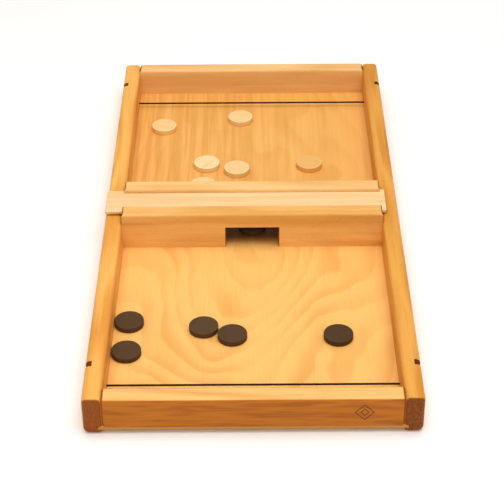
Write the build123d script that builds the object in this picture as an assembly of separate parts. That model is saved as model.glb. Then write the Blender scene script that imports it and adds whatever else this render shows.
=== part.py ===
"""A wooden sling puck board: two play fields under one frame, a gate tunnel between them,
a storage trough with a sliding lid over the tunnel, two elastic cords and twelve pucks.

The origin is on the table under the middle of the board. X runs across the board, Y along
it from the near player to the far one, and Z up. All sizes are in millimetres.
"""
import os
from math import cos, radians, sin

from build123d import *

# Board
board_width = 310.0
board_length = 636.0
rail_thickness = 18.0
rail_height = 40.0
rail_top_round = 4.5
rail_outer_foot_round = 6.0
rail_inner_foot_round = 2.5
rail_end_round = 4.0
end_rail_thickness = 18.0
board_edge_round = 3.0

# Base board, held in a groove in each side rail
base_thickness = 3.0
base_lift = 5.0
base_entry = 4.0
base_end_play = 1.0
base_groove_play = 0.1

# Middle bars, with the gate between the fields
bar_thickness = 18.0
bar_rise = 9.5
gate_width = 56.0
gate_height = 24.5
gate_edge_chamfer = 0.6
tunnel_wall_thickness = 9.0
tunnel_roof_thickness = 4.0

# Sliding lid of the storage trough
lid_thickness = 3.0
lid_length = 297.0
lid_entry = 5.0
lid_side_play = 0.4
lid_groove_play = 0.3
lid_over_rails = 2.0
lid_corner_round = 1.5
lid_edge_round = 0.5

# Pucks
puck_diameter = 29.0
puck_thickness = 6.0
puck_edge_round = 0.8
puck_floor_gap = 0.1
puck_wall_gap = 0.4
puck_pair_gap = 2.0
trough_play = 2.0

# Elastic cords, knotted in notches in the outer faces of the side rails
cord_diameter = 2.0
cord_hole_play = 0.2
cord_from_end = 52.0
cord_over_floor = 5.5
knot_diameter = 4.6
knot_round = 1.0
notch_side_room = 1.4
notch_below_cord = 3.2
cord_tail = 1.4

# Hidden fasteners
dowel_diameter = 6.0
dowel_length = 30.0
dowel_in_rail = 12.0
dowel_heights = (9.0, 23.0)
screw_length = 16.0
screw_diameter = 3.5
screw_head_diameter = 7.0
screw_head_height = 1.8
screw_tip_height = 2.5
screw_tip_diameter = 0.7
screw_recess_width = 0.9
screw_recess_length = 4.0
screw_recess_depth = 1.0
end_rail_screws = (-110.0, 0.0, 110.0)
bar_screws = (-112.0, -50.0, 50.0, 112.0)

# Where each puck lies, as a share of the room it has: across from -1 at the left rail to 1
# at the right rail, and along from 0 at the middle bar to 1 at the elastic cord.
dark_places = {
    "dark_puck_1": (-1.0, 0.585),
    "dark_puck_2": (-1.0, 0.817),
    "dark_puck_4": (-0.164, 0.694),
    "dark_puck_5": (0.684, 0.699),
}
light_places = {
    "light_puck_1": (-0.853, 0.817),
    "light_puck_2": (-0.110, 0.914),
    "light_puck_3": (-0.423, 0.398),
    "light_puck_4": (-0.141, 0.341),
    "light_puck_5": (0.536, 0.393),
    "light_puck_6": (-0.448, 0.167),
}
dark_pair_angle = 155.5
gate_puck_depth = 34.0

# Worked out from the sizes above
half_width = board_width / 2
half_length = board_length / 2
inner_half = half_width - rail_thickness
inner_width = 2 * inner_half
base_top = base_lift + base_thickness
trough_width = puck_diameter + trough_play
bar_top = rail_height + bar_rise
bar_offset = (trough_width + bar_thickness) / 2
bar_face = bar_offset + bar_thickness / 2
end_rail_offset = half_length - end_rail_thickness / 2
lid_bottom = rail_height + lid_over_rails
lid_width = trough_width + 2 * lid_entry
cord_radius = cord_diameter / 2
cord_end_inset = cord_tail / 2
cord_y = half_length - cord_from_end
cord_z = base_top + cord_over_floor
notch_width = knot_diameter + 2 * notch_side_room
notch_depth = knot_diameter + cord_tail
puck_radius = puck_diameter / 2
puck_middle_z = base_top + puck_floor_gap + puck_thickness / 2
same_place = 0.001
parts_folder = "parts"


def board(length_x, length_y, bottom, top, x=0.0, y=0.0):
    """A plain board between two heights."""
    height = top - bottom
    return Pos(x, y, bottom + height / 2) * Box(length_x, length_y, height)


def end_rail(side):
    """An end rail, standing on the base, rounded along its top and down its outer corners."""
    y = side * end_rail_offset
    blank = board(inner_width, end_rail_thickness, base_top, rail_height, y=y)
    top = blank.edges().group_by(Axis.Z)[-1]
    corners = blank.edges().filter_by(Axis.Z)
    outer = [corner for corner in corners if side * corner.center().Y > end_rail_offset]
    return fillet([*top, *outer], board_edge_round)


def knot_places():
    """Every place where a cord is knotted: the side, and the y of the cord."""
    return [(side, y) for y in (-cord_y, cord_y) for side in (-1, 1)]


def foot_edges(rail, side):
    """The lowest edges along a side rail, from its inner side outwards."""
    lowest = rail.edges().filter_by(Axis.Y).group_by(Axis.Z)[0]
    return sorted(lowest, key=lambda edge: side * edge.center().X)


def side_rail(side):
    """A side rail: round edges, the base groove, and the holes and notches of the cords."""
    middle = side * (half_width - rail_thickness / 2)
    rail = board(rail_thickness, board_length, 0, rail_height, x=middle)
    rail = fillet(rail.edges().filter_by(Axis.Y).group_by(Axis.Z)[-1], rail_top_round)
    rail = fillet(foot_edges(rail, side)[-1], rail_outer_foot_round)
    rail = fillet(foot_edges(rail, side)[0], rail_inner_foot_round)
    ends = rail.faces().filter_by(Axis.Y)
    rail = fillet([edge for face in ends for edge in face.edges()], rail_end_round)

    groove_depth = base_entry + base_end_play
    groove = board(
        groove_depth,
        board_length,
        base_lift - base_groove_play,
        base_top,
        x=side * (inner_half + groove_depth / 2),
    )
    rail -= groove
    hole_radius = cord_radius + cord_hole_play
    for y in (-cord_y, cord_y):
        hole = Pos(middle, y, cord_z) * Rot(0, 90, 0) * Cylinder(hole_radius, rail_thickness * 2)
        notch = board(
            notch_depth,
            notch_width,
            cord_z - notch_below_cord,
            rail_height,
            x=side * (half_width - notch_depth / 2),
            y=y,
        )
        rail -= hole + notch
    return rail


def gate_bar(side):
    """A middle bar with the gate through its foot and the lid's groove in its inner face."""
    y = side * bar_offset
    bar = board(inner_width, bar_thickness, base_top, bar_top, y=y)
    bar = fillet(bar.edges().group_by(Axis.Z)[-1], board_edge_round)
    bar -= board(gate_width, bar_thickness, base_top, base_top + gate_height, y=y)
    outer = side * bar_face
    mouth = [
        edge
        for edge in bar.edges()
        if abs(edge.center().Y - outer) < same_place
        and abs(edge.center().X) < gate_width / 2 + same_place
        and edge.center().Z > base_top + same_place
        and edge.center().Z < base_top + gate_height + same_place
    ]
    bar = chamfer(mouth, gate_edge_chamfer)
    groove_depth = lid_entry + lid_side_play
    bar -= board(
        inner_width,
        groove_depth,
        lid_bottom - lid_groove_play,
        lid_bottom + lid_thickness + lid_groove_play,
        y=side * (trough_width / 2 + groove_depth / 2),
    )
    return bar


def screw_blank(x, y):
    """A countersunk wood screw, up through the base, before its cross recess is cut."""
    radius = screw_diameter / 2
    shank_length = screw_length - screw_head_height - screw_tip_height
    head_z = base_lift + screw_head_height / 2
    shank_z = base_lift + screw_head_height + shank_length / 2
    tip_z = base_lift + screw_length - screw_tip_height / 2
    head = Pos(x, y, head_z) * Cone(screw_head_diameter / 2, radius, screw_head_height)
    shank = Pos(x, y, shank_z) * Cylinder(radius, shank_length)
    tip = Pos(x, y, tip_z) * Cone(radius, screw_tip_diameter / 2, screw_tip_height)
    return head + shank + tip


def screw(x, y):
    """A screw with its cross recess."""
    depth = screw_recess_depth
    slot = board(screw_recess_length, screw_recess_width, base_lift, base_lift + depth, x, y)
    cross = board(screw_recess_width, screw_recess_length, base_lift, base_lift + depth, x, y)
    return screw_blank(x, y) - slot - cross


def dowel(side, y, z):
    """A beech dowel between a side rail and the end of a cross board."""
    middle = side * (inner_half + dowel_in_rail - dowel_length / 2)
    return Pos(middle, y, z) * Rot(0, 90, 0) * Cylinder(dowel_diameter / 2, dowel_length)


def knot(side, y):
    """A tight knot: a round bead on the cord, lying against the bottom of its notch."""
    bead = Cylinder(knot_diameter / 2, knot_diameter)
    bead = fillet(bead.edges().filter_by(GeomType.CIRCLE), knot_round)
    bead -= Cylinder(cord_radius, knot_diameter * 2)
    x = side * (half_width - notch_depth + knot_diameter / 2)
    return Pos(x, y, cord_z) * Rot(0, 90, 0) * bead


def puck(x, y):
    """A turned wooden disc lying on the base."""
    disc = Cylinder(puck_radius, puck_thickness)
    disc = fillet(disc.edges().filter_by(GeomType.CIRCLE), puck_edge_round)
    return Pos(x, y, puck_middle_z) * disc


def puck_place(across, along, side):
    """The place of a puck, from its shares of the room across and along its field."""
    room_across = inner_half - puck_radius - puck_wall_gap
    nearest = bar_face + puck_radius + puck_wall_gap
    furthest = cord_y - cord_radius - puck_radius - puck_wall_gap
    return across * room_across, side * (nearest + along * (furthest - nearest))


# Fasteners first, because the boards are drilled for them
screw_places = [(x, side * end_rail_offset) for side in (-1, 1) for x in end_rail_screws]
screw_places += [(x, side * bar_offset) for side in (-1, 1) for x in bar_screws]
screw_blanks = [screw_blank(x, y) for x, y in screw_places]
cross_board_ys = [side * offset for side in (-1, 1) for offset in (bar_offset, end_rail_offset)]
dowels = [
    dowel(side, y, base_top + height)
    for y in cross_board_ys
    for side in (-1, 1)
    for height in dowel_heights
]


def drilled(piece, pegs):
    """The piece with a hole for each screw or dowel that enters it."""
    reach = piece.bounding_box()
    for peg in pegs:
        box = peg.bounding_box()
        across = box.min.X < reach.max.X and box.max.X > reach.min.X
        along = box.min.Y < reach.max.Y and box.max.Y > reach.min.Y
        up = box.min.Z < reach.max.Z and box.max.Z > reach.min.Z
        if across and along and up:
            piece = piece - peg
    return piece


pieces = {}
base_width = inner_width + 2 * base_entry
pieces["base_board"] = drilled(board(base_width, board_length, base_lift, base_top), screw_blanks)
for name, side in (("left_rail", -1), ("right_rail", 1)):
    pieces[name] = drilled(side_rail(side), dowels)
for name, side in (("front_end_rail", -1), ("back_end_rail", 1)):
    pieces[name] = drilled(end_rail(side), screw_blanks + dowels)
for name, side in (("front_gate_bar", -1), ("back_gate_bar", 1)):
    pieces[name] = drilled(gate_bar(side), screw_blanks + dowels)

# Tunnel lining under the trough
tunnel_top = base_top + gate_height
for name, side in (("tunnel_left_wall", -1), ("tunnel_right_wall", 1)):
    pieces[name] = board(
        tunnel_wall_thickness,
        trough_width,
        base_top,
        tunnel_top,
        x=side * (gate_width + tunnel_wall_thickness) / 2,
    )
pieces["tunnel_roof"] = board(
    gate_width + 2 * tunnel_wall_thickness,
    trough_width,
    tunnel_top,
    tunnel_top + tunnel_roof_thickness,
)

# The lid lies with its left end level with the outer face of the left rail
lid = board(
    lid_length,
    lid_width,
    lid_bottom,
    lid_bottom + lid_thickness,
    x=lid_length / 2 - half_width,
)
lid = fillet(lid.edges().filter_by(Axis.Z), lid_corner_round)
lid_faces = lid.faces().filter_by(Axis.Z)
pieces["storage_lid"] = fillet([edge for face in lid_faces for edge in face.edges()], lid_edge_round)

# Cords, pulled straight from knot to knot
cord_length = board_width - 2 * cord_end_inset
for name, y in (("front_cord", -cord_y), ("back_cord", cord_y)):
    pieces[name] = Pos(0, y, cord_z) * Rot(0, 90, 0) * Cylinder(cord_radius, cord_length)
pieces["cord_knots"] = Compound(children=[knot(side, y) for side, y in knot_places()])

# Pucks
for name, (across, along) in dark_places.items():
    pieces[name] = puck(*puck_place(across, along, -1))
pair_x, pair_y = puck_place(*dark_places["dark_puck_4"], -1)
pair_reach = puck_diameter + puck_pair_gap
pair_x += pair_reach * cos(radians(dark_pair_angle))
pair_y += pair_reach * sin(radians(dark_pair_angle))
pieces["dark_puck_3"] = puck(pair_x, pair_y)
pieces["dark_puck_6"] = puck(0, gate_puck_depth - bar_face)
for name, (across, along) in light_places.items():
    pieces[name] = puck(*puck_place(across, along, 1))

pieces["base_screws"] = Compound(children=[screw(x, y) for x, y in screw_places])
pieces["rail_dowels"] = Compound(children=dowels)

os.makedirs(parts_folder, exist_ok=True)
for name, piece in pieces.items():
    export_step(piece, os.path.join(parts_folder, name + ".step"))
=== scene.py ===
"""A wooden sling puck board: oiled beech rails, a birch plywood bed, turned pucks and
braided elastic cords, on a pale floor in soft studio light."""
from math import cos, pi, radians, sin

import bmesh
import bpy
from bpy.props import FloatProperty, FloatVectorProperty, PointerProperty
from mathutils import Matrix, Vector


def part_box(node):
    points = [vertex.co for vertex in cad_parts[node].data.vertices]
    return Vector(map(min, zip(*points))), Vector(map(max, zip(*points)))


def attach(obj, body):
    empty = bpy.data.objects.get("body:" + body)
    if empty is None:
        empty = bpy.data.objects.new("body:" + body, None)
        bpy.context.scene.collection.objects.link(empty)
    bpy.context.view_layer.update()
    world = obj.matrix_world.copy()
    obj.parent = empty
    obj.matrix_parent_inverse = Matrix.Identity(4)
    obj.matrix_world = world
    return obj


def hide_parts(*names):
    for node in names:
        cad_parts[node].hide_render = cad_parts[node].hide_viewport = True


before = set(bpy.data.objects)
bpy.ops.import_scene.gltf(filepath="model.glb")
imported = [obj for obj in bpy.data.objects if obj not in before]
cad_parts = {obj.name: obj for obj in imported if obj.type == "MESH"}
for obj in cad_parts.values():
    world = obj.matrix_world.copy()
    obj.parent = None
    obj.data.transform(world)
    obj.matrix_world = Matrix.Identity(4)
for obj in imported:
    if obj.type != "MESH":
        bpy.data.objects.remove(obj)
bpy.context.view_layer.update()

bl_info = {
    "name": "Sling puck board",
    "version": (1, 0, 0),
    "blender": (4, 5, 0),
    "location": "3D View > Sidebar > Sling Puck",
    "description": "Finishes a wooden sling puck board and sets it on a studio floor",
    "category": "Object",
}

MM = 0.001

# The camera: its picture and focal length in the same unit, its place in metres, and its
# turns in degrees
FILM_WIDTH = 36.0
PICTURE_WIDTH = 504
FOCAL_LENGTH = 1513.4
CAMERA_PLACE = (0.0006, -1.3503, 0.9271)
CAMERA_HEADING = 0.044
CAMERA_DOWN = 35.108
CAMERA_ROLL = -0.381

# How far each puck's pale colour leans to its late wood, in the order of their names
PUCK_RIPENESS = (0.35, 0.3, 0.0, 0.35, 0.9, 0.2)
PUCK_TURN = 2.4


def middle(node):
    """The middle of a CAD node's box."""
    low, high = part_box(node)
    return (Vector(low) + Vector(high)) / 2


def linear(code):
    """A hex colour, as seen on a screen, as linear red, green and blue, and 1 for solid."""
    levels = [int(code[i:i + 2], 16) / 255 for i in (1, 3, 5)]
    return (*[v / 12.92 if v <= 0.04045 else ((v + 0.055) / 1.055) ** 2.4 for v in levels], 1.0)


# Places that come from the frame
CORD_FRONT = middle("front_cord")
CORD_BACK = middle("back_cord")
CORD_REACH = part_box("front_cord")[1][0]
CORD_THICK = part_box("front_cord")[1][2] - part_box("front_cord")[0][2]
KNOT_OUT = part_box("cord_knots")[1][0]
KNOT_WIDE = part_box("cord_knots")[1][2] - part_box("cord_knots")[0][2]
FRONT_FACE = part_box("front_end_rail")[0][1]
DARK_PUCKS = sorted(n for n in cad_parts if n.startswith("dark_puck"))
LIGHT_PUCKS = sorted(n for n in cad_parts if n.startswith("light_puck"))
PUCK_RADIUS = (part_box("dark_puck_1")[1][0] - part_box("dark_puck_1")[0][0]) / 2


# Sizes and colours

def size(name, description, default):
    """A length that a user may change."""
    return FloatProperty(name=name, description=description, default=default, unit="LENGTH", min=0)


def tone(name, description, code):
    """A colour that a user may change."""
    return FloatVectorProperty(
        name=name, description=description, default=linear(code), size=4, subtype="COLOR",
        min=0, max=1)


class BoardSizes(bpy.types.PropertyGroup):
    """Lengths of the pieces and patterns that are made here."""
    cord_width: size("Cord width", "Across each elastic cord", CORD_THICK)
    knot_width: size("Knot width", "Across each knot in the cords", KNOT_WIDE)
    braid_step: size("Braid step", "From one crossing of the cord's braid to the next", 2.2 * MM)
    mark_half: size("Mark size", "From the middle of the burned mark to its corner", 8.6 * MM)
    mark_line: size("Mark line", "Width of the burned line", 1.0 * MM)
    mark_across: size("Mark place", "From the middle of the board to the mark", 100.5 * MM)
    floor_half: size("Floor size", "From the middle of the floor to its edge", 30.0)


class BoardColours(bpy.types.PropertyGroup):
    """Colours of the finishes."""
    beech_light: tone("Beech, light", "Early wood of the left rail's beech", "#F4B75C")
    beech_dark: tone("Beech, dark", "Late wood of the left rail's beech", "#E09539")
    red_light: tone("Red beech, light", "Early wood of the right rail's redder beech", "#E8A64A")
    red_dark: tone("Red beech, dark", "Late wood of the right rail's redder beech", "#CC852A")
    pale_board_light: tone("Pale beech, light", "Early wood of the near rail and bar", "#F4BF72")
    pale_board_dark: tone("Pale beech, dark", "Late wood of the near rail and bar", "#E0A352")
    far_board_light: tone("Far beech, light", "Early wood of the far rail and bar", "#F4C582")
    far_board_dark: tone("Far beech, dark", "Late wood of the far rail and bar", "#E4AE66")
    # The two heartwood tones below give the front rail's face its streaks and its painted shade; the
    # dark one is also painted shade on the tunnel walls
    shaded_heart_light: tone("Heartwood, light", "Streaks between the dark ones on the front rail", "#C27016")
    shaded_heart_dark: tone("Heartwood, dark", "Dark streaks on the front rail's face", "#A2560F")
    beech_fleck: tone("Beech, fleck", "Ray flecks and fibres of the beech", "#B0631D")
    beech_end: tone("Beech, end grain", "Sawn ends of the beech, which drink more oil", "#8A4200")
    red_end: tone("Red beech, end grain", "Sawn ends of the redder beech", "#743600")
    lid_light: tone("Lid, light", "The lid's paler beech", "#F4CF9B")
    lid_dark: tone("Lid, dark", "Late wood of the lid", "#EBC086")
    ply_light: tone("Birch, light", "Early wood of the birch veneer", "#F8C06D")
    ply_dark: tone("Birch, dark", "Late wood of the birch veneer", "#DE9C48")
    ply_stripe: tone("Birch, stripe", "Straight late wood at the far end of the veneer", "#CF8632")
    ply_edge: tone("Birch, edge", "The plywood's pale outer layers, seen at its edge", "#B47A3B")
    # Painted shade: this dark tone darkens the bed, the roof and the walls inside the tunnel, for the
    # shade there
    tunnel_painted_shade: tone("Tunnel stain", "Bed inside the tunnel, darkened by the pucks", "#4C280E")
    dark_light: tone("Dark puck, high", "Stain where the fibres stand up", "#553E26")
    dark_dark: tone("Dark puck, low", "Stain in the grain", "#49341F")
    pale_light: tone("Light puck, high", "Bare turned beech", "#F3D59F")
    pale_dark: tone("Light puck, low", "Late wood of the bare beech", "#E3AD5C")
    cord: tone("Cord", "Braided elastic", "#2C1206")
    burn: tone("Burned line", "Scorched wood of the mark", "#371806")
    floor: tone("Floor", "Pale studio floor", "#FCFCFB")


# Materials

def node(tree, kind, inputs, out=0, **settings):
    """Adds a shader node with its settings, sets or links its inputs by name or by place,
    and gives one of its outputs."""
    made = tree.nodes.new("ShaderNode" + kind)
    for key, value in settings.items():
        setattr(made, key, value)
    for key, value in inputs.items():
        if isinstance(value, bpy.types.NodeSocket):
            tree.links.new(value, made.inputs[key])
        else:
            made.inputs[key].default_value = value
    return made.outputs[out]


# Settings that many nodes share
TIMES = {"operation": "MULTIPLY"}
PLUS = {"operation": "ADD"}
MINUS = {"operation": "SUBTRACT"}
SIZE_OF = {"operation": "ABSOLUTE"}
SAWTOOTH = {"operation": "PINGPONG"}
TINT = {"out": 2, "data_type": "RGBA"}
SOFT = {"interpolation_type": "SMOOTHSTEP"}


def new_material(name):
    """An empty material and its tree."""
    material = bpy.data.materials.new(name)
    material.use_nodes = True
    return material, material.node_tree


def finish(material, colour, roughness, height, depth, shine):
    """Joins a wood's colour, roughness and pores to its shader."""
    tree = material.node_tree
    shader = tree.nodes["Principled BSDF"]
    bump = node(tree, "Bump", {"Strength": 0.3, "Distance": depth, "Height": height})
    tree.links.new(colour, shader.inputs["Base Color"])
    tree.links.new(roughness, shader.inputs["Roughness"])
    tree.links.new(bump, shader.inputs["Normal"])
    shader.inputs["IOR"].default_value = 1.48
    shader.inputs["Specular IOR Level"].default_value = shine
    return material


def tint_over(material, share, colour):
    """Lays a colour over the one that a material has, where share is 1."""
    tree = material.node_tree
    base = tree.nodes["Principled BSDF"].inputs["Base Color"]
    plain = base.links[0].from_socket
    tree.links.new(node(tree, "Mix", {0: share, 6: plain, 7: colour}, **TINT), base)


def grain_field(tree, grain, shift):
    """Places in metres, turned so that X lies along the grain, and moved to another part of
    the same plank, so that no two pieces match."""
    place = node(tree, "TexCoord", {}, out="Object")
    turned = node(tree, "Mapping", {"Vector": place, "Rotation": (0, 0, -grain)})
    return node(tree, "Mapping", {"Vector": turned, "Location": shift})


def streaks(tree, field, width, stretch, detail=2.0, rough=0.5):
    """Noise drawn out along the grain: width is its size across the grain, in metres."""
    drawn = node(tree, "Mapping", {"Vector": field, "Scale": (1 / stretch, 1, 1)})
    return node(tree, "TexNoise", {
        "Vector": drawn, "Scale": 1 / width, "Detail": detail, "Roughness": rough})


def facing(tree, axis):
    """How squarely a surface faces along one axis, from 0 to 1."""
    normal = node(tree, "NewGeometry", {}, out="Normal")
    part = node(tree, "SeparateXYZ", {0: normal}, out=axis)
    return node(tree, "Math", {0: part}, **SIZE_OF)


def along(tree, axis):
    """Where a point is along one axis, in metres."""
    place = node(tree, "TexCoord", {}, out="Object")
    return node(tree, "SeparateXYZ", {0: place}, out=axis)


def beech(name, light, dark, fleck, end, grain, shift):
    """Planed beech under hard wax oil. Straight fine fibres run the length of the board, with
    short dark ray flecks and slow honey bands. The sawn ends drink oil and go brown. The wax
    leaves a low, broad shine. The fibres are drawn about 1.3 mm apart, as finer ones vanish."""
    material, tree = new_material(name)
    field = grain_field(tree, grain, shift)
    slow = streaks(tree, field, 35 * MM, 9, 1.0)
    rings = node(tree, "Math", {0: slow, 1: 9.0}, **TIMES)
    rings = node(tree, "Math", {0: rings, 1: 1.0}, **SAWTOOTH)
    bands = streaks(tree, field, 8 * MM, 22, 2.0, 0.6)
    fibres = streaks(tree, field, 1.3 * MM, 30, 3.0, 0.7)
    dashes = streaks(tree, field, 1.0 * MM, 7, 1.0)
    clouds = streaks(tree, field, 70 * MM, 3, 2.0)
    body = node(tree, "Mix", {0: 0.66, 2: rings, 3: bands})
    late = node(tree, "MapRange", {0: body, 1: 0.3, 2: 0.75}, **SOFT)
    colour = node(tree, "Mix", {0: late, 6: light, 7: dark}, **TINT)
    lines = node(tree, "MapRange", {0: fibres, 1: 0.5, 2: 0.85, 4: 0.42}, **SOFT)
    colour = node(tree, "Mix", {0: lines, 6: colour, 7: fleck}, **TINT)
    marks = node(tree, "MapRange", {0: dashes, 1: 0.66, 2: 0.76, 4: 0.30}, **SOFT)
    colour = node(tree, "Mix", {0: marks, 6: colour, 7: fleck}, **TINT)
    patches = node(tree, "MapRange", {0: clouds, 1: 0.35, 2: 0.7, 4: 0.30}, **SOFT)
    colour = node(tree, "Mix", {0: patches, 6: colour, 7: dark}, **TINT)

    ends = facing(tree, "Y" if grain else "X")
    ends = node(tree, "MapRange", {0: ends, 1: 0.35, 2: 0.75}, **SOFT)
    year_lines = streaks(tree, field, 2.2 * MM, 1.0, 3.0, 0.6)
    year_lines = node(tree, "MapRange", {0: year_lines, 1: 0.35, 2: 0.7, 4: 0.45}, **SOFT)
    sawn = node(tree, "Mix", {0: year_lines, 6: end, 7: fleck}, **TINT)
    colour = node(tree, "Mix", {0: ends, 6: colour, 7: sawn}, **TINT)

    wax = node(tree, "MapRange", {0: fibres, 1: 0.3, 2: 0.8, 3: 0.44, 4: 0.58}, **SOFT)
    pores = node(tree, "Math", {0: dashes, 1: 0.5}, **TIMES)
    pores = node(tree, "Math", {0: fibres, 1: pores}, **PLUS)
    return finish(material, colour, wax, pores, 0.14 * MM, 0.2)


def veneer_rings(tree, field):
    """The height of a rotary cut veneer within the log's year rings: tall arches about the
    gate, flatter in the near field and nearly straight in the far one, on slow hills."""
    x, y = along(tree, "X"), along(tree, "Y")
    off_gate = 30 * MM
    near = node(tree, "Math", {0: y, 1: off_gate}, **PLUS)
    near = node(tree, "Math", {0: near, 1: 0.0}, operation="MINIMUM")
    near = node(tree, "Math", {0: near, 1: 0.72}, **TIMES)
    far = node(tree, "Math", {0: y, 1: off_gate}, **MINUS)
    far = node(tree, "Math", {0: far, 1: 0.0}, operation="MAXIMUM")
    far = node(tree, "Math", {0: far, 1: 0.16}, **TIMES)
    away = node(tree, "Math", {0: near, 1: far}, **PLUS)
    aside = node(tree, "Math", {0: x, 1: 12 * MM}, **PLUS)
    reach = node(tree, "CombineXYZ", {0: aside, 1: away})
    arch = node(tree, "VectorMath", {0: reach}, out="Value", operation="LENGTH")
    hills = streaks(tree, field, 105 * MM, 1.7, 1.0, 0.4)
    ripples = streaks(tree, field, 26 * MM, 2.2, 2.0, 0.5)
    height = node(tree, "Math", {0: arch, 1: 1 / (24 * MM)}, **TIMES)
    hills = node(tree, "Math", {0: hills, 1: 6.5}, **TIMES)
    ripples = node(tree, "Math", {0: ripples, 1: 0.7}, **TIMES)
    height = node(tree, "Math", {0: height, 1: hills}, **PLUS)
    return node(tree, "Math", {0: height, 1: ripples}, **PLUS)


def birch_plywood(name, shift):
    """Rotary cut birch veneer under clear oil. The knife peels round the log, so the year rings
    show as wide wavy bands and tall arches, with soft fine fibres. The edge shows three plies."""
    look = bpy.context.scene.board_colours
    light, dark = look.ply_light[:], look.ply_dark[:]
    material, tree = new_material(name)
    field = grain_field(tree, pi / 2, shift)
    fibres = streaks(tree, field, 1.5 * MM, 26, 3.0, 0.65)
    clouds = streaks(tree, field, 60 * MM, 2.2, 2.0)
    ring = node(tree, "Math", {0: veneer_rings(tree, field)}, operation="FRACT")
    early = node(tree, "MapRange", {0: ring, 1: 0.0, 2: 0.84}, **SOFT)
    early = node(tree, "Math", {0: early, 1: 1.6}, operation="POWER")
    late = node(tree, "MapRange", {0: ring, 1: 0.86, 2: 1.0, 3: 1.0, 4: 0.0}, **SOFT)
    band = node(tree, "Math", {0: early, 1: late}, **TIMES)
    strength = node(tree, "MapRange", {0: clouds, 1: 0.3, 2: 0.7, 3: 0.10, 4: 0.58}, **SOFT)
    band = node(tree, "Math", {0: band, 1: strength}, **TIMES)
    colour = node(tree, "Mix", {0: band, 6: light, 7: dark}, **TINT)
    lines = node(tree, "MapRange", {0: fibres, 1: 0.45, 2: 0.85, 4: 0.36}, **SOFT)
    colour = node(tree, "Mix", {0: lines, 6: colour, 7: dark}, **TINT)
    patches = node(tree, "MapRange", {0: clouds, 1: 0.45, 2: 0.8, 4: 0.35}, **SOFT)
    colour = node(tree, "Mix", {0: patches, 6: colour, 7: dark}, **TINT)

    # The far field is darkened as painted shade, for the light falling off towards the far end, and
    # striped where the knife ran along the rings
    x, y, z = along(tree, "X"), along(tree, "Y"), along(tree, "Z")
    back = node(tree, "MapRange", {0: y, 1: 20 * MM, 2: 60 * MM}, **SOFT)
    left = node(tree, "MapRange", {0: x, 1: 110 * MM, 2: -60 * MM, 3: 0.25, 4: 1.0}, **SOFT)
    stripes = streaks(tree, field, 7 * MM, 34, 2.0, 0.6)
    stripes = node(tree, "MapRange", {0: stripes, 1: 0.38, 2: 0.62, 4: 0.42}, **SOFT)
    stripes = node(tree, "Math", {0: stripes, 1: left}, **TIMES)
    stripes = node(tree, "Math", {0: stripes, 1: back}, **TIMES)
    shade = node(tree, "Math", {0: back, 1: 0.42}, **TIMES)
    colour = node(tree, "Mix", {0: shade, 6: colour, 7: dark}, **TINT)
    colour = node(tree, "Mix", {0: stripes, 6: colour, 7: look.ply_stripe[:]}, **TINT)

    # Painted shade: the floor and the ceiling of the tunnel are darkened, standing in for the shade
    # inside it
    low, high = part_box("base_board")[0][2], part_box("base_board")[1][2]
    ceiling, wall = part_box("tunnel_roof")[0][2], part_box("tunnel_right_wall")[0][0]
    reach = (ceiling - high) / 2 + 0.1 * MM
    between = node(tree, "Math", {0: z, 1: (ceiling + high) / 2, 2: reach}, operation="COMPARE")
    deep = node(tree, "Math", {0: y}, **SIZE_OF)
    deep = node(tree, "MapRange", {0: deep, 1: 31 * MM, 2: 12 * MM, 4: 0.8}, **SOFT)
    aside = node(tree, "Math", {0: x}, **SIZE_OF)
    aside = node(tree, "MapRange", {0: aside, 1: wall + 2 * MM, 2: wall - 2 * MM}, **SOFT)
    inside = node(tree, "Math", {0: deep, 1: aside}, **TIMES)
    inside = node(tree, "Math", {0: inside, 1: between}, **TIMES)
    colour = node(tree, "Mix", {0: inside, 6: colour, 7: look.tunnel_painted_shade[:]}, **TINT)

    core = node(tree, "Math", {0: z, 1: (low + high) / 2, 2: (high - low) / 6}, operation="COMPARE")
    core = node(tree, "Math", {0: core, 1: 0.6}, **TIMES)
    plies = node(tree, "Mix", {0: core, 6: look.ply_edge[:], 7: dark}, **TINT)
    edge = node(tree, "MapRange", {0: facing(tree, "Z"), 1: 0.7, 2: 0.3}, **SOFT)
    colour = node(tree, "Mix", {0: edge, 6: colour, 7: plies}, **TINT)

    oil = node(tree, "MapRange", {0: fibres, 1: 0.3, 2: 0.8, 3: 0.40, 4: 0.52}, **SOFT)
    return finish(material, colour, oil, fibres, 0.07 * MM, 0.2)


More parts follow.
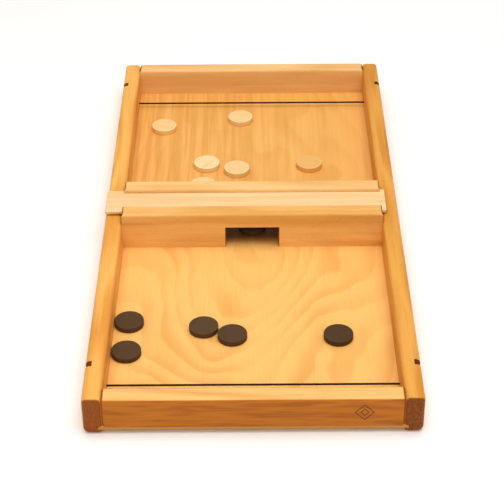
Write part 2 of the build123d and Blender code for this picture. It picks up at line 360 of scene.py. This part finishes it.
def turned_beech(name, light, dark, where, turn, shine):
    """Beech sliced from a turned rod and sanded, bare or stained. The grain runs straight
    across each face, and every puck lies turned another way. The rim, where the lathe crossed
    the fibres, is rubbed a little paler along both edges."""
    material, tree = new_material(name)
    place = node(tree, "TexCoord", {}, out="Object")
    centred = node(tree, "Mapping", {"Vector": place, "Location": -where})
    field = node(tree, "Mapping", {
        "Vector": centred, "Rotation": (0, 0, turn), "Location": (where.x, where.y, turn)})
    bands = streaks(tree, field, 5 * MM, 9, 2.0, 0.6)
    fibres = streaks(tree, field, 1.1 * MM, 12, 3.0, 0.7)
    body = node(tree, "Mix", {0: 0.45, 2: bands, 3: fibres})
    late = node(tree, "MapRange", {0: body, 1: 0.40, 2: 0.95}, **SOFT)
    colour = node(tree, "Mix", {0: late, 6: light, 7: dark}, **TINT)

    flat = node(tree, "VectorMath", {0: centred, 1: (1, 1, 0)}, **TIMES)
    across = node(tree, "VectorMath", {0: flat}, out="Value", operation="LENGTH")
    rim = {0: across, 1: PUCK_RADIUS - 1.6 * MM, 2: PUCK_RADIUS - 0.4 * MM}
    rim = node(tree, "MapRange", rim, **SOFT)
    up = node(tree, "SeparateXYZ", {0: centred}, out="Z")
    up = node(tree, "Math", {0: up}, **SIZE_OF)
    up = node(tree, "MapRange", {0: up, 1: 1.9 * MM, 2: 2.7 * MM, 4: 0.35}, **SOFT)
    corner = node(tree, "Math", {0: rim, 1: up}, **TIMES)
    rubbed = [min(1.0, 1.5 * c) for c in light]
    colour = node(tree, "Mix", {0: corner, 6: colour, 7: rubbed}, **TINT)
    sanded = node(tree, "MapRange", {0: fibres, 1: 0.3, 2: 0.8, 3: 0.55, 4: 0.65}, **SOFT)
    return finish(material, colour, sanded, fibres, 0.08 * MM, shine)


def braided_elastic(name, centre):
    """Latex cord under a braided polyester cover: near black brown. Two sets of threads cross round
    it, drawn coarser than real so that they show, with their crowns painted lighter as a painted
    highlight for the cover's soft sheen."""
    look, sizes = bpy.context.scene.board_colours, bpy.context.scene.board_sizes
    material, tree = new_material(name)
    side = node(tree, "Math", {0: along(tree, "Y"), 1: centre.y}, **MINUS)
    up = node(tree, "Math", {0: along(tree, "Z"), 1: centre.z}, **MINUS)
    angle = node(tree, "Math", {0: side, 1: up}, operation="ARCTAN2")
    angle = node(tree, "Math", {0: angle, 1: 3.0}, **TIMES)
    step = node(tree, "Math", {0: along(tree, "X"), 1: 2 * pi / sizes.braid_step}, **TIMES)
    left = node(tree, "Math", {0: step, 1: angle}, **PLUS)
    left = node(tree, "Math", {0: left}, operation="SINE")
    right = node(tree, "Math", {0: step, 1: angle}, **MINUS)
    right = node(tree, "Math", {0: right}, operation="SINE")
    threads = node(tree, "Math", {0: left, 1: right}, operation="MAXIMUM")
    # Painted highlight: the crowns of the threads are lighter, for the sheen of the cover
    crown_highlight = node(tree, "MapRange", {0: threads, 1: 0.1, 2: 1.0}, **SOFT)
    base = look.cord[:]
    lit = [min(1.0, 2.4 * c + 0.01) for c in base]
    colour = node(tree, "Mix", {0: crown_highlight, 6: base, 7: lit}, **TINT)
    woven = node(tree, "MapRange", {0: threads, 3: 0.86, 4: 0.76}, **SOFT)
    return finish(material, colour, woven, threads, 0.3 * MM, 0.05)


def zinc_steel(name):
    """Pressed steel screws with yellow zinc plating, dulled by handling."""
    material, tree = new_material(name)
    place = node(tree, "TexCoord", {}, out="Object")
    specks = node(tree, "TexNoise", {"Vector": place, "Scale": 1 / (0.8 * MM), "Detail": 3.0})
    dulled = node(tree, "MapRange", {0: specks, 1: 0.35, 2: 0.7}, **SOFT)
    colour = node(tree, "Mix", {0: dulled, 6: linear("#C9B981"), 7: linear("#A08B58")}, **TINT)
    matt = node(tree, "MapRange", {0: specks, 1: 0.3, 2: 0.8, 3: 0.28, 4: 0.48}, **SOFT)
    shader = tree.nodes["Principled BSDF"]
    tree.links.new(colour, shader.inputs["Base Color"])
    tree.links.new(matt, shader.inputs["Roughness"])
    shader.inputs["Metallic"].default_value = 1.0
    return material


def shaded_heart_face(material):
    """Tones the outer face of the front end rail redder and darker than the rest of the board, with
    long wavy heartwood streaks. The darker tone is partly painted shade, for the shade on this upright
    face."""
    look = bpy.context.scene.board_colours
    tree = material.node_tree
    field = grain_field(tree, 0, (2.2, 0.7, 0.4))
    waves = streaks(tree, field, 9 * MM, 12, 2.0, 0.5)
    lines = node(tree, "Math", {0: waves, 1: 8.0}, **TIMES)
    lines = node(tree, "Math", {0: lines, 1: 1.0}, **SAWTOOTH)
    fine = streaks(tree, field, 1.3 * MM, 24, 3.0, 0.6)
    body = node(tree, "Mix", {0: 0.6, 2: lines, 3: fine})
    late = node(tree, "MapRange", {0: body, 1: 0.25, 2: 0.85}, **SOFT)
    heart_and_shade = {0: late, 6: look.shaded_heart_light[:], 7: look.shaded_heart_dark[:]}
    heart_and_shade = node(tree, "Mix", heart_and_shade, **TINT)
    # Painted shade: only the upright outer face takes the darker tone
    face = {0: along(tree, "Y"), 1: FRONT_FACE + 3.4 * MM, 2: FRONT_FACE + 2.9 * MM}
    face = node(tree, "MapRange", face, **SOFT)
    upright = node(tree, "MapRange", {0: facing(tree, "Z"), 1: 0.75, 2: 0.5}, **SOFT)
    face = node(tree, "Math", {0: face, 1: upright}, **TIMES)
    tint_over(material, face, heart_and_shade)


def burn_mark(material):
    """Brands a small lozenge inside a larger one into the face of the front end rail."""
    look, sizes = bpy.context.scene.board_colours, bpy.context.scene.board_sizes
    tree = material.node_tree
    across = node(tree, "Math", {0: along(tree, "X"), 1: sizes.mark_across}, **MINUS)
    across = node(tree, "Math", {0: across}, **SIZE_OF)
    up = node(tree, "Math", {0: along(tree, "Z"), 1: middle("front_end_rail").z}, **MINUS)
    up = node(tree, "Math", {0: up}, **SIZE_OF)
    reach = node(tree, "Math", {0: across, 1: up}, **PLUS)
    outer = node(tree, "Math", {0: reach, 1: sizes.mark_half}, **MINUS)
    outer = node(tree, "Math", {0: outer}, **SIZE_OF)
    inner = node(tree, "Math", {0: reach, 1: sizes.mark_half * 0.42}, **MINUS)
    inner = node(tree, "Math", {0: inner}, **SIZE_OF)
    line = node(tree, "Math", {0: outer, 1: inner}, operation="MINIMUM")
    inked = {0: line, 1: sizes.mark_line * 0.9, 2: sizes.mark_line * 0.35, 4: 0.85}
    inked = node(tree, "MapRange", inked, **SOFT)
    front = node(tree, "Math", {0: along(tree, "Y"), 1: FRONT_FACE + 1 * MM}, operation="LESS_THAN")
    inked = node(tree, "Math", {0: inked, 1: front}, **TIMES)
    tint_over(material, inked, look.burn[:])


def wear(name, material):
    """Puts one material on a CAD node, in place of all it came with."""
    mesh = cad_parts[name].data
    mesh.materials.clear()
    mesh.materials.append(material)


def mesh_from_curve(name, curve_object, place):
    """A mesh object in place of a curve, moved to where it belongs."""
    mesh = bpy.data.meshes.new_from_object(curve_object)
    mesh.transform(place)
    mesh.name = name
    bpy.data.objects.remove(curve_object)
    made = bpy.data.objects.new(name, mesh)
    bpy.context.scene.collection.objects.link(made)
    return made


# Operators

class BOARD_OT_camera(bpy.types.Operator):
    """Stands the camera before the near end of the board, looking down at it"""
    bl_idname = "board.camera"
    bl_label = "Camera"

    def execute(self, context):
        data = bpy.data.cameras.new("camera")
        data.sensor_width = FILM_WIDTH
        data.lens = FILM_WIDTH * FOCAL_LENGTH / PICTURE_WIDTH
        data.clip_end = 50.0
        camera = bpy.data.objects.new("camera", data)
        turn = Matrix.Rotation(radians(CAMERA_HEADING), 4, "Z")
        tilt = Matrix.Rotation(radians(90 - CAMERA_DOWN), 4, "X")
        roll = Matrix.Rotation(radians(CAMERA_ROLL), 4, "Z")
        camera.matrix_world = Matrix.Translation(CAMERA_PLACE) @ turn @ tilt @ roll
        context.scene.collection.objects.link(camera)
        context.scene.camera = camera
        return {"FINISHED"}


class BOARD_OT_cords(bpy.types.Operator):
    """Strings the two elastic cords from rail to rail, with a knot at each end"""
    bl_idname = "board.cords"
    bl_label = "Elastic cords"

    def knot(self, name, sizes, end, centre):
        """An overhand knot: a cord that winds three times through itself, drawn up tight."""
        data = bpy.data.curves.new(name, "CURVE")
        data.dimensions = "3D"
        thread = sizes.cord_width * 0.40
        data.bevel_depth = thread
        data.bevel_resolution = 4
        data.resolution_u = 6
        spline = data.splines.new("NURBS")
        turns = 30
        spline.points.add(turns - 1)
        spread = (sizes.knot_width / 2 - thread) / 3
        for i, point in enumerate(spline.points):
            t = 2 * pi * i / turns
            x = (sin(t) + 2 * sin(2 * t)) * spread
            y = (cos(t) - 2 * cos(2 * t)) * spread
            point.co = (x, y, -sin(3 * t) * thread * 1.1, 1)
        spline.use_cyclic_u = True
        spline.order_u = 4
        curve = bpy.data.objects.new(name, data)
        bpy.context.scene.collection.objects.link(curve)
        x = end * (KNOT_OUT - sizes.knot_width / 2)
        place = Matrix.Translation((x, centre.y, centre.z)) @ Matrix.Rotation(pi / 2, 4, "Y")
        return mesh_from_curve(name, curve, place)

    def execute(self, context):
        sizes = context.scene.board_sizes
        for name, centre in (("front_elastic", CORD_FRONT), ("back_elastic", CORD_BACK)):
            elastic = braided_elastic(name + "_braid", centre)
            data = bpy.data.curves.new(name, "CURVE")
            data.dimensions = "3D"
            data.bevel_depth = sizes.cord_width / 2
            data.bevel_resolution = 5
            data.use_fill_caps = True
            spline = data.splines.new("NURBS")
            spline.points.add(2)
            for point, x in zip(spline.points, (-CORD_REACH, 0, CORD_REACH)):
                point.co = (x, centre.y, centre.z, 1)
            spline.order_u = 3
            spline.use_endpoint_u = True
            data.materials.append(elastic)
            cord = bpy.data.objects.new(name, data)
            context.scene.collection.objects.link(cord)
            for side, end in (("left", -1), ("right", 1)):
                knot = self.knot(f"{name}_{side}_knot", sizes, end, centre)
                knot.data.materials.append(elastic)
                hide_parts("cord_knots")
                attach(knot, "board")
            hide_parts(name.replace("elastic", "cord"))
            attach(cord, "board")
        return {"FINISHED"}


class BOARD_OT_rails(bpy.types.Operator):
    """Oils the beech side rails, end rails and gate bars, and brands the front rail"""
    bl_idname = "board.rails"
    bl_label = "Rails and bars"

    def execute(self, context):
        look = context.scene.board_colours
        fleck, end = look.beech_fleck[:], look.beech_end[:]
        plain = (look.beech_light[:], look.beech_dark[:], fleck, end)
        red = (look.red_light[:], look.red_dark[:], fleck, look.red_end[:])
        far = (look.far_board_light[:], look.far_board_dark[:], fleck, end)
        pale = (look.pale_board_light[:], look.pale_board_dark[:], fleck, end)
        # Painted shade: the tunnel walls take dark tones that stand in for the shade inside the tunnel
        tunnel_shade_woods = (look.shaded_heart_dark[:], look.tunnel_painted_shade[:], look.burn[:], end)
        lengthwise, crosswise = pi / 2, 0
        boards = (
            ("left_rail", plain, lengthwise, (0.3, 1.1, 0.0)),
            ("right_rail", red, lengthwise, (2.7, 4.2, 0.4)),
            ("front_end_rail", pale, crosswise, (5.1, 0.6, 1.1)),
            ("back_end_rail", far, crosswise, (1.9, 3.3, 2.0)),
            ("front_gate_bar", pale, crosswise, (7.7, 2.8, 0.7)),
            ("back_gate_bar", far, crosswise, (4.4, 5.9, 1.5)),
            ("tunnel_left_wall", tunnel_shade_woods, crosswise, (3.0, 7.0, 0.2)),
            ("tunnel_right_wall", tunnel_shade_woods, crosswise, (6.0, 8.0, 0.9)),
            ("rail_dowels", plain, crosswise, (9.0, 2.0, 0.3)),
        )
        for name, woods, grain, shift in boards:
            material = beech("oiled_beech_" + name, *woods, grain, shift)
            if name == "front_end_rail":
                # Painted shade and heartwood streaks on the front face
                shaded_heart_face(material)
                burn_mark(material)
            wear(name, material)
        return {"FINISHED"}


class BOARD_OT_lid(bpy.types.Operator):
    """Gives the sliding lid its paler beech"""
    bl_idname = "board.lid"
    bl_label = "Storage lid"

    def execute(self, context):
        look = context.scene.board_colours
        material = beech(
            "oiled_beech_lid", look.lid_light[:], look.lid_dark[:], look.beech_dark[:],
            look.beech_end[:], 0, (8.2, 6.1, 2.4))
        wear("storage_lid", material)
        return {"FINISHED"}


class BOARD_OT_bed(bpy.types.Operator):
    """Lays the birch plywood bed and the tunnel's roof, and plates the screws"""
    bl_idname = "board.bed"
    bl_label = "Plywood bed"

    def execute(self, context):
        wear("base_board", birch_plywood("oiled_birch_plywood", (1.35, 2.15, 0.3)))
        wear("tunnel_roof", birch_plywood("oiled_birch_tunnel_roof", (4.4, 1.1, 0.9)))
        wear("base_screws", zinc_steel("yellow_zinc_steel"))
        return {"FINISHED"}


class BOARD_OT_pucks(bpy.types.Operator):
    """Stains six pucks dark and leaves six bare"""
    bl_idname = "board.pucks"
    bl_label = "Pucks"

    def execute(self, context):
        look = context.scene.board_colours
        kinds = (
            (DARK_PUCKS, "stained_turned_beech_", look.dark_light[:], look.dark_dark[:], 0.15),
            (LIGHT_PUCKS, "bare_turned_beech_", look.pale_light[:], look.pale_dark[:], 0.25),
        )
        for names, finish_name, early, late, shine in kinds:
            for count, name in enumerate(names):
                turn = 0.5 + PUCK_TURN * count
                toned = PUCK_RIPENESS[count]
                light = [a + (b - a) * toned for a, b in zip(early, late)]
                wear(name, turned_beech(finish_name + name, light, late, middle(name), turn, shine))
        return {"FINISHED"}


class BOARD_OT_stage(bpy.types.Operator):
    """Sets a pale floor under the board, and soft lights over it"""
    bl_idname = "board.stage"
    bl_label = "Studio"

    def light(self, name, place, target, width, power, colour):
        """A square soft box, turned to a point."""
        data = bpy.data.lights.new(name, "AREA")
        data.shape = "SQUARE"
        data.size = width
        data.energy = power
        data.color = colour
        lamp = bpy.data.objects.new(name, data)
        lamp.location = place
        lamp.rotation_euler = (Vector(target) - Vector(place)).to_track_quat("-Z", "Y").to_euler()
        bpy.context.scene.collection.objects.link(lamp)

    def execute(self, context):
        look, sizes = context.scene.board_colours, context.scene.board_sizes
        sheet = bmesh.new()
        bmesh.ops.create_grid(sheet, x_segments=1, y_segments=1, size=sizes.floor_half)
        mesh = bpy.data.meshes.new("floor")
        sheet.to_mesh(mesh)
        sheet.free()
        floor = bpy.data.objects.new("floor", mesh)
        context.scene.collection.objects.link(floor)
        material, tree = new_material("matt_painted_floor")
        shader = tree.nodes["Principled BSDF"]
        place = node(tree, "TexCoord", {}, out="Object")
        mottle = node(tree, "TexNoise", {"Vector": place, "Scale": 6.0, "Detail": 3.0})
        mottle = node(tree, "MapRange", {0: mottle, 1: 0.3, 2: 0.7}, **SOFT)
        pale = look.floor[:]
        shaded = [0.985 * c for c in pale]
        colour = node(tree, "Mix", {0: mottle, 6: pale, 7: shaded}, **TINT)
        tree.links.new(colour, shader.inputs["Base Color"])
        shader.inputs["Roughness"].default_value = 0.9
        shader.inputs["Specular IOR Level"].default_value = 0.1
        mesh.materials.append(material)

        world = bpy.data.worlds.new("studio")
        world.use_nodes = True
        sky = world.node_tree.nodes["Background"]
        sky.inputs["Color"].default_value = (1.0, 0.985, 0.96, 1)
        sky.inputs["Strength"].default_value = 0.42
        context.scene.world = world
        self.light("key", (0.1, -0.3, 2.0), (0, -0.05, 0), 1.8, 33.5, (1.0, 0.99, 0.97))
        self.light("back", (-0.1, 1.6, 1.9), (0, 0, 0), 1.2, 3.5, (1.0, 0.99, 0.97))
        self.light("fill", (0.1, -2.3, 1.6), (0, 0, 0), 1.6, 11, (1.0, 0.98, 0.95))
        context.scene.view_settings.view_transform = "Standard"
        return {"FINISHED"}


class BOARD_PT_panel(bpy.types.Panel):
    """The steps that finish the board"""
    bl_label = "Sling Puck Board"
    bl_space_type = "VIEW_3D"
    bl_region_type = "UI"
    bl_category = "Sling Puck"

    def draw(self, context):
        for step in STEPS:
            self.layout.operator(step.bl_idname)


STEPS = (
    BOARD_OT_camera,
    BOARD_OT_cords,
    BOARD_OT_rails,
    BOARD_OT_lid,
    BOARD_OT_bed,
    BOARD_OT_pucks,
    BOARD_OT_stage,
)
CLASSES = (BoardSizes, BoardColours) + STEPS + (BOARD_PT_panel,)


def register():
    """Makes the classes known, and gives the scene its sizes and colours."""
    for made in CLASSES:
        bpy.utils.register_class(made)
    bpy.types.Scene.board_sizes = PointerProperty(type=BoardSizes)
    bpy.types.Scene.board_colours = PointerProperty(type=BoardColours)


def unregister():
    """Takes back what register gave."""
    del bpy.types.Scene.board_colours
    del bpy.types.Scene.board_sizes
    for made in reversed(CLASSES):
        bpy.utils.unregister_class(made)


def main():
    """Registers the add-on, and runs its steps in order."""
    register()
    for step in STEPS:
        group, name = step.bl_idname.split(".")
        getattr(getattr(bpy.ops, group), name)()
    bpy.context.view_layer.update()


if __name__ == "__main__":
    main()
